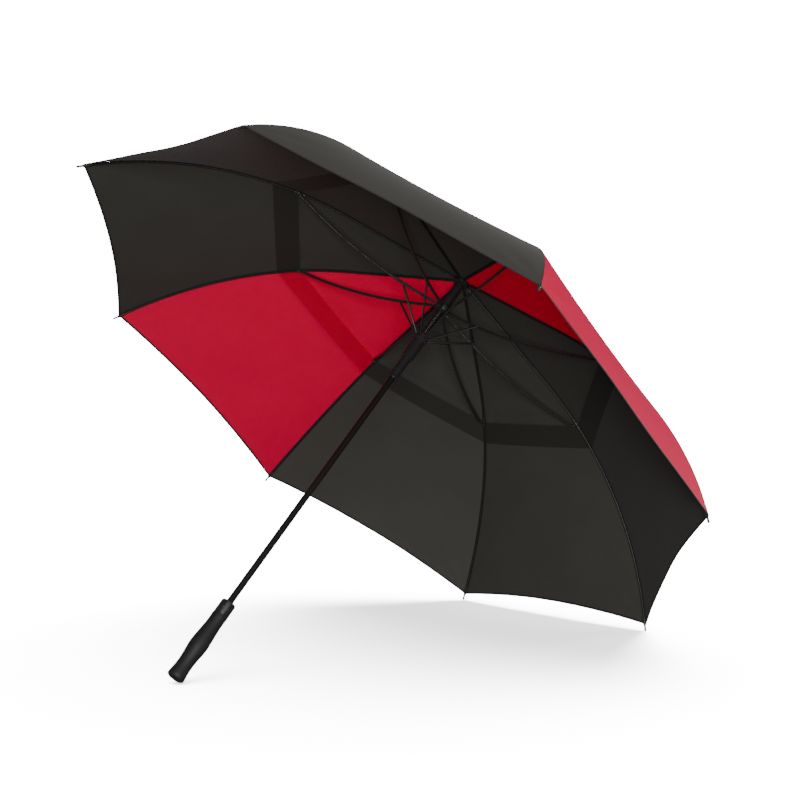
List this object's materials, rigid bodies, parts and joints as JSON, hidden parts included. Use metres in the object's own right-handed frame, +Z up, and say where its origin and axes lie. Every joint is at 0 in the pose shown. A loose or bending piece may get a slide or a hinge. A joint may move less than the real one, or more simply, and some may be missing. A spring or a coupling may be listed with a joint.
{
  "type": "golf umbrella",
  "caption": "Open vented golf umbrella lying on the floor, with a double canopy, spring-driven folding ribs, sliding runner, release button and foam grip.",
  "frame": {"origin": "centre of the bounding box's base, on the floor that two rib tips and the handle's end rest on", "axes": "+Z up, +X the way the shaft leans from the handle to the crown, +Y to the left seen from the handle, across the canopy"},
  "size_m": [0.8958, 1.2424, 0.8892],
  "materials": {
    "shaft_paint": "glossy black enamel on a steel tube",
    "moulded_plastic": "satin black moulded nylon",
    "sleeve_plastic": "black plastic sleeve",
    "handle_plastic": "smooth satin black plastic",
    "button_plastic": "satin dark grey plastic",
    "pin_steel": "bright steel wire",
    "grip_foam": "matte black closed-cell foam",
    "spring_steel": "black phosphated spring wire",
    "tip_plastic": "black moulded rib tip",
    "rib_fibreglass": "glossy black fibreglass rod",
    "link_steel": "black painted folded steel",
    "black_cloth": "black woven pongee",
    "red_cloth": "red woven pongee"
  },
  "bodies": {
    "root": {"shaft": "shaft_paint", "ferrule": "moulded_plastic", "crown_cap": "moulded_plastic", "crown": "moulded_plastic", "stop_sleeve": "sleeve_plastic", "handle_core": "handle_plastic", "lever_pin": "pin_steel", "grip": "grip_foam"},
    "hub": {"stretcher_hub": "moulded_plastic"},
    "runner": {"runner": "moulded_plastic", "main_spring": "spring_steel"},
    "release": {"release_lever": "button_plastic"},
    "arm_1": {"rib_1": "rib_fibreglass", "rib_tip_1": "tip_plastic", "canopy_gore_1": "black_cloth", "vent_gore_1": "black_cloth"},
    "arm_2": {"rib_2": "rib_fibreglass", "rib_tip_2": "tip_plastic", "canopy_gore_2": "red_cloth", "vent_gore_2": "red_cloth"},
    "arm_3": {"rib_3": "rib_fibreglass", "rib_tip_3": "tip_plastic", "canopy_gore_3": "black_cloth", "vent_gore_3": "black_cloth"},
    "arm_4": {"rib_4": "rib_fibreglass", "rib_tip_4": "tip_plastic", "canopy_gore_4": "black_cloth", "vent_gore_4": "black_cloth"},
    "arm_5": {"rib_5": "rib_fibreglass", "rib_tip_5": "tip_plastic", "canopy_gore_5": "black_cloth", "vent_gore_5": "black_cloth"},
    "arm_6": {"rib_6": "rib_fibreglass", "rib_tip_6": "tip_plastic", "canopy_gore_6": "red_cloth", "vent_gore_6": "red_cloth"},
    "arm_7": {"rib_7": "rib_fibreglass", "rib_tip_7": "tip_plastic", "canopy_gore_7": "black_cloth", "vent_gore_7": "black_cloth"},
    "arm_8": {"rib_8": "rib_fibreglass", "rib_tip_8": "tip_plastic", "canopy_gore_8": "black_cloth", "vent_gore_8": "black_cloth"},
    "stretcher_1": {"stretcher_1": "link_steel"},
    "stretcher_2": {"stretcher_2": "link_steel"},
    "stretcher_3": {"stretcher_3": "link_steel"},
    "stretcher_4": {"stretcher_4": "link_steel"},
    "stretcher_5": {"stretcher_5": "link_steel"},
    "stretcher_6": {"stretcher_6": "link_steel"},
    "stretcher_7": {"stretcher_7": "link_steel"},
    "stretcher_8": {"stretcher_8": "link_steel"},
    "strut_1": {"strut_1": "link_steel"},
    "strut_2": {"strut_2": "link_steel"},
    "strut_3": {"strut_3": "link_steel"},
    "strut_4": {"strut_4": "link_steel"},
    "strut_5": {"strut_5": "link_steel"},
    "strut_6": {"strut_6": "link_steel"},
    "strut_7": {"strut_7": "link_steel"},
    "strut_8": {"strut_8": "link_steel"}
  },
  "joints": [
    {"name": "runner_slide", "type": "slide", "parent": "root", "child": "runner", "axis": [-0.7039, 0, -0.7103], "range_m": [0, 0.5233], "stiffness_N_per_m": 60, "springref_m": -0.5, "deforming": ["main_spring", "canopy_gore_1", "canopy_gore_2", "canopy_gore_3", "canopy_gore_4", "canopy_gore_5", "canopy_gore_6", "canopy_gore_7", "canopy_gore_8", "vent_gore_1", "vent_gore_2", "vent_gore_3", "vent_gore_4", "vent_gore_5", "vent_gore_6", "vent_gore_7", "vent_gore_8"]},
    {"name": "hub_slide", "type": "slide", "parent": "root", "child": "hub", "axis": [-0.7039, 0, -0.7103], "range_m": [0, 0.5775]},
    {"name": "rib_hinge_1", "type": "hinge", "parent": "root", "child": "arm_1", "pos_m": [0.20982, 0.00536, 0.67426], "axis": [-0.2718, -0.9239, 0.2694], "range_deg": [0, 64.2]},
    {"name": "rib_hinge_2", "type": "hinge", "parent": "root", "child": "arm_2", "pos_m": [0.2152, 0.01293, 0.66893], "axis": [-0.6562, -0.3827, 0.6503], "range_deg": [0, 64.2]},
    {"name": "rib_hinge_3", "type": "hinge", "parent": "root", "child": "arm_3", "pos_m": [0.22281, 0.01293, 0.66138], "axis": [-0.6562, 0.3827, 0.6503], "range_deg": [0, 64.2]},
    {"name": "rib_hinge_4", "type": "hinge", "parent": "root", "child": "arm_4", "pos_m": [0.22819, 0.00536, 0.65605], "axis": [-0.2718, 0.9239, 0.2694], "range_deg": [0, 64.2]},
    {"name": "rib_hinge_5", "type": "hinge", "parent": "root", "child": "arm_5", "pos_m": [0.22819, -0.00536, 0.65605], "axis": [0.2718, 0.9239, -0.2694], "range_deg": [0, 64.2]},
    {"name": "rib_hinge_6", "type": "hinge", "parent": "root", "child": "arm_6", "pos_m": [0.22281, -0.01293, 0.66138], "axis": [0.6562, 0.3827, -0.6503], "range_deg": [0, 64.2]},
    {"name": "rib_hinge_7", "type": "hinge", "parent": "root", "child": "arm_7", "pos_m": [0.2152, -0.01293, 0.66893], "axis": [0.6562, -0.3827, -0.6503], "range_deg": [0, 64.2]},
    {"name": "rib_hinge_8", "type": "hinge", "parent": "root", "child": "arm_8", "pos_m": [0.20982, -0.00536, 0.67426], "axis": [0.2718, -0.9239, -0.2694], "range_deg": [0, 64.2]},
    {"name": "stretcher_pivot_1", "type": "hinge", "parent": "hub", "child": "stretcher_1", "pos_m": [0.1601, -0.00031, 0.62358], "axis": [0.2718, 0.9239, -0.2694], "range_deg": [0, 79.23]},
    {"name": "stretcher_pivot_2", "type": "hinge", "parent": "hub", "child": "stretcher_2", "pos_m": [0.16256, 0.00867, 0.62114], "axis": [0.6562, 0.3827, -0.6503], "range_deg": [0, 79.23]},
    {"name": "stretcher_pivot_3", "type": "hinge", "parent": "hub", "child": "stretcher_3", "pos_m": [0.16881, 0.01258, 0.61494], "axis": [0.6562, -0.3827, -0.6503], "range_deg": [0, 79.23]},
    {"name": "stretcher_pivot_4", "type": "hinge", "parent": "hub", "child": "stretcher_4", "pos_m": [0.17519, 0.00911, 0.60862], "axis": [0.2718, -0.9239, -0.2694], "range_deg": [0, 79.23]},
    {"name": "stretcher_pivot_5", "type": "hinge", "parent": "hub", "child": "stretcher_5", "pos_m": [0.17796, 0.00031, 0.60587], "axis": [-0.2718, -0.9239, 0.2694], "range_deg": [0, 79.23]},
    {"name": "stretcher_pivot_6", "type": "hinge", "parent": "hub", "child": "stretcher_6", "pos_m": [0.1755, -0.00867, 0.60831], "axis": [-0.6562, -0.3827, 0.6503], "range_deg": [0, 79.23]},
    {"name": "stretcher_pivot_7", "type": "hinge", "parent": "hub", "child": "stretcher_7", "pos_m": [0.16925, -0.01258, 0.61451], "axis": [-0.6562, 0.3827, 0.6503], "range_deg": [0, 79.23]},
    {"name": "stretcher_pivot_8", "type": "hinge", "parent": "hub", "child": "stretcher_8", "pos_m": [0.16287, -0.00911, 0.62083], "axis": [-0.2718, 0.9239, 0.2694], "range_deg": [0, 79.23]},
    {"name": "strut_pivot_1", "type": "hinge", "parent": "runner", "child": "strut_1", "pos_m": [0.10772, 0.00242, 0.56989], "axis": [0.2718, 0.9239, -0.2694], "range_deg": [0, 34.61]},
    {"name": "strut_pivot_2", "type": "hinge", "parent": "runner", "child": "strut_2", "pos_m": [0.11143, 0.01019, 0.56622], "axis": [0.6562, 0.3827, -0.6503], "range_deg": [0, 34.61]},
    {"name": "strut_pivot_3", "type": "hinge", "parent": "runner", "child": "strut_3", "pos_m": [0.11795, 0.01199, 0.55975], "axis": [0.6562, -0.3827, -0.6503], "range_deg": [0, 34.61]},
    {"name": "strut_pivot_4", "type": "hinge", "parent": "runner", "child": "strut_4", "pos_m": [0.12347, 0.00676, 0.55428], "axis": [0.2718, -0.9239, -0.2694], "range_deg": [0, 34.61]},
    {"name": "strut_pivot_5", "type": "hinge", "parent": "runner", "child": "strut_5", "pos_m": [0.12475, -0.00242, 0.55302], "axis": [-0.2718, -0.9239, 0.2694], "range_deg": [0, 34.61]},
    {"name": "strut_pivot_6", "type": "hinge", "parent": "runner", "child": "strut_6", "pos_m": [0.12104, -0.01019, 0.55669], "axis": [-0.6562, -0.3827, 0.6503], "range_deg": [0, 34.61]},
    {"name": "strut_pivot_7", "type": "hinge", "parent": "runner", "child": "strut_7", "pos_m": [0.11452, -0.01199, 0.56316], "axis": [-0.6562, 0.3827, 0.6503], "range_deg": [0, 34.61]},
    {"name": "strut_pivot_8", "type": "hinge", "parent": "runner", "child": "strut_8", "pos_m": [0.109, -0.00676, 0.56863], "axis": [-0.2718, 0.9239, 0.2694], "range_deg": [0, 34.61]},
    {"name": "release_press", "type": "hinge", "parent": "root", "child": "release", "pos_m": [-0.33487, -0.01005, 0.11451], "axis": [0.6151, -0.5, -0.6096], "range_deg": [0, 7], "stiffness_Nm_per_rad": 0.8, "springref_deg": -4.58}
  ],
  "couplings": [
    {"joint": "hub_slide", "follows": "runner_slide", "ratio": 1.1026},
    {"joint": "rib_hinge_1", "follows": "runner_slide", "rad_per_m": 2.1379},
    {"joint": "rib_hinge_2", "follows": "runner_slide", "rad_per_m": 2.1379},
    {"joint": "rib_hinge_3", "follows": "runner_slide", "rad_per_m": 2.1379},
    {"joint": "rib_hinge_4", "follows": "runner_slide", "rad_per_m": 2.1379},
    {"joint": "rib_hinge_5", "follows": "runner_slide", "rad_per_m": 2.1379},
    {"joint": "rib_hinge_6", "follows": "runner_slide", "rad_per_m": 2.1379},
    {"joint": "rib_hinge_7", "follows": "runner_slide", "rad_per_m": 2.1379},
    {"joint": "rib_hinge_8", "follows": "runner_slide", "rad_per_m": 2.1379},
    {"joint": "stretcher_pivot_1", "follows": "runner_slide", "rad_per_m": 2.6393},
    {"joint": "stretcher_pivot_2", "follows": "runner_slide", "rad_per_m": 2.6393},
    {"joint": "stretcher_pivot_3", "follows": "runner_slide", "rad_per_m": 2.6393},
    {"joint": "stretcher_pivot_4", "follows": "runner_slide", "rad_per_m": 2.6393},
    {"joint": "stretcher_pivot_5", "follows": "runner_slide", "rad_per_m": 2.6393},
    {"joint": "stretcher_pivot_6", "follows": "runner_slide", "rad_per_m": 2.6393},
    {"joint": "stretcher_pivot_7", "follows": "runner_slide", "rad_per_m": 2.6393},
    {"joint": "stretcher_pivot_8", "follows": "runner_slide", "rad_per_m": 2.6393},
    {"joint": "strut_pivot_1", "follows": "runner_slide", "rad_per_m": 1.1509},
    {"joint": "strut_pivot_2", "follows": "runner_slide", "rad_per_m": 1.1509},
    {"joint": "strut_pivot_3", "follows": "runner_slide", "rad_per_m": 1.1509},
    {"joint": "strut_pivot_4", "follows": "runner_slide", "rad_per_m": 1.1509},
    {"joint": "strut_pivot_5", "follows": "runner_slide", "rad_per_m": 1.1509},
    {"joint": "strut_pivot_6", "follows": "runner_slide", "rad_per_m": 1.1509},
    {"joint": "strut_pivot_7", "follows": "runner_slide", "rad_per_m": 1.1509},
    {"joint": "strut_pivot_8", "follows": "runner_slide", "rad_per_m": 1.1509}
  ]
}
